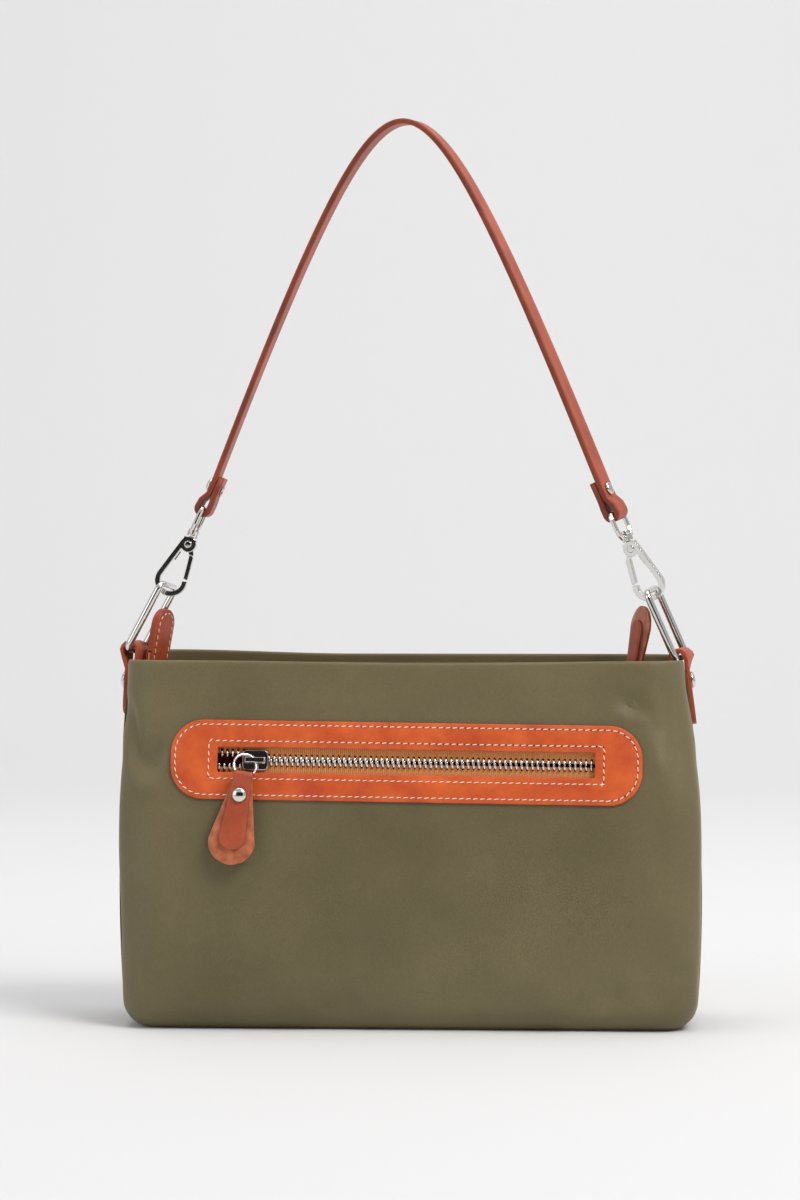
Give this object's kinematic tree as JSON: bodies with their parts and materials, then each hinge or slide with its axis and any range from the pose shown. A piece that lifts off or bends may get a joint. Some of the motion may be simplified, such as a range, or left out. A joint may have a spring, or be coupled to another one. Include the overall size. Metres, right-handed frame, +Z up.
{
  "type": "crossbody purse",
  "caption": "Small zip-top nylon shoulder bag with a leather-framed front pocket zip, side tabs and rings, and a leather strap clipped on with swivel snap hooks.",
  "frame": {"origin": "on the floor, under the middle of the bag", "axes": "+X to the bag's right as seen from the front, +Y to its back, +Z up"},
  "size_m": [0.2829, 0.0892, 0.439],
  "materials": {
    "nylon_twill": "fine twill with a slight sheen",
    "nylon_inside": "matt",
    "red_lining": "matt",
    "leather": "semi-matt, fine grain",
    "zip_tape": "matt twill",
    "silver_metal": "polished"
  },
  "bodies": {
    "bag": {"front_panel": "nylon_twill", "back_panel": "nylon_twill", "bottom_panel": "nylon_twill", "left_gusset": "nylon_twill", "right_gusset": "nylon_twill", "main_lining": "nylon_inside", "front_pocket_lining": "red_lining", "front_zip_frame": "leather", "front_tape_upper": "zip_tape", "front_tape_lower": "zip_tape", "front_teeth_upper": "silver_metal", "front_teeth_lower": "silver_metal", "top_facing_front": "nylon_inside", "top_facing_back": "nylon_inside", "top_tape_front": "zip_tape", "top_tape_back": "zip_tape", "top_teeth_front": "silver_metal", "top_teeth_back": "silver_metal", "top_zip_tail": "zip_tape", "top_end_tab": "leather", "left_tab": "leather", "left_tab_rivet_cap": "silver_metal", "left_tab_rivet_back": "silver_metal", "right_tab": "leather", "right_tab_rivet_cap": "silver_metal", "right_tab_rivet_back": "silver_metal"},
    "front_slider": {"front_slider": "silver_metal"},
    "front_pull_ring": {"front_pull_ring": "silver_metal"},
    "front_puller": {"front_puller": "leather", "front_puller_rivet_cap": "silver_metal", "front_puller_rivet_back": "silver_metal"},
    "top_slider": {"top_slider": "silver_metal"},
    "top_pull_ring": {"top_pull_ring": "silver_metal"},
    "top_puller": {"top_puller": "leather", "top_puller_rivet_cap": "silver_metal", "top_puller_rivet_back": "silver_metal"},
    "left_ring": {"left_ring": "silver_metal"},
    "right_ring": {"right_ring": "silver_metal"},
    "strap": {"strap": "leather", "left_swivel_eye": "silver_metal", "left_strap_rivet_cap": "silver_metal", "left_strap_rivet_back": "silver_metal", "right_swivel_eye": "silver_metal", "right_strap_rivet_cap": "silver_metal", "right_strap_rivet_back": "silver_metal"},
    "left_hook": {"left_hook_body": "silver_metal", "left_hook_pin": "silver_metal", "left_hook_spring": "silver_metal"},
    "left_gate": {"left_hook_gate": "silver_metal"},
    "right_hook": {"right_hook_body": "silver_metal", "right_hook_pin": "silver_metal", "right_hook_spring": "silver_metal"},
    "right_gate": {"right_hook_gate": "silver_metal"}
  },
  "joints": [
    {"name": "front_slider_slide", "type": "slide", "parent": "bag", "child": "front_slider", "axis": [0.9999, -0.0016, -0.013], "range_m": [-0.011, 0.15], "deforming": ["front_teeth_upper", "front_teeth_lower"]},
    {"name": "front_pull_flip", "type": "hinge", "parent": "front_slider", "child": "front_pull_ring", "pos_m": [-0.07349, -0.037, 0.12972], "axis": [-0.6327, 0.0944, 0.7686], "range_deg": [0, 95]},
    {"name": "front_puller_swing", "type": "hinge", "parent": "front_pull_ring", "child": "front_puller", "pos_m": [-0.07738, -0.03961, 0.12684], "axis": [-0.315, 0.8754, -0.3668], "range_deg": [-12, 15]},
    {"name": "top_slider_slide", "type": "slide", "parent": "bag", "child": "top_slider", "axis": [-1, 0, 0], "range_m": [0, 0.19]},
    {"name": "top_pull_flip", "type": "hinge", "parent": "top_slider", "child": "top_pull_ring", "pos_m": [0.1044, 0, 0.1491], "axis": [0.371, -0.9272, -0.0521], "range_deg": [-3, 70]},
    {"name": "top_puller_swing", "type": "hinge", "parent": "top_pull_ring", "child": "top_puller", "pos_m": [0.10517, 0, 0.15455], "axis": [0.9182, 0.3746, -0.129], "range_deg": [-15, 0]},
    {"name": "left_ring_swing", "type": "hinge", "parent": "bag", "child": "left_ring", "pos_m": [-0.13568, 0, 0.1803], "axis": [0.2285, 0.9659, -0.1215], "range_deg": [-1.5, 1.5]},
    {"name": "right_ring_swing", "type": "hinge", "parent": "bag", "child": "right_ring", "pos_m": [0.13087, 0, 0.177], "axis": [-0.2675, -0.9563, -0.118], "range_deg": [-1.5, 1.5]},
    {"name": "strap_swing", "type": "hinge", "parent": "bag", "child": "strap", "pos_m": [-0.00134, 0, 0.2076], "axis": [1, 0, -0.0095], "range_deg": [-32, 32]},
    {"name": "left_hook_swivel", "type": "hinge", "parent": "strap", "child": "left_hook", "pos_m": [-0.11979, -0.00001, 0.20848], "axis": [0.4147, 0, 0.91], "range_deg": [-20, 0]},
    {"name": "right_hook_swivel", "type": "hinge", "parent": "strap", "child": "right_hook", "pos_m": [0.11755, 0.00014, 0.20642], "axis": [-0.4115, 0, 0.9114], "range_deg": [0, 20]},
    {"name": "left_gate_swing", "type": "hinge", "parent": "left_hook", "child": "left_gate", "pos_m": [-0.10905, -0.00001, 0.23205], "axis": [0.0159, 0.9998, -0.0072], "range_deg": [0, 16], "stiffness_Nm_per_rad": 0.02},
    {"name": "right_gate_swing", "type": "hinge", "parent": "right_hook", "child": "right_gate", "pos_m": [0.10689, 0.00014, 0.23003], "axis": [-0.3117, -0.9397, -0.1407], "range_deg": [0, 16], "stiffness_Nm_per_rad": 0.02}
  ]
}
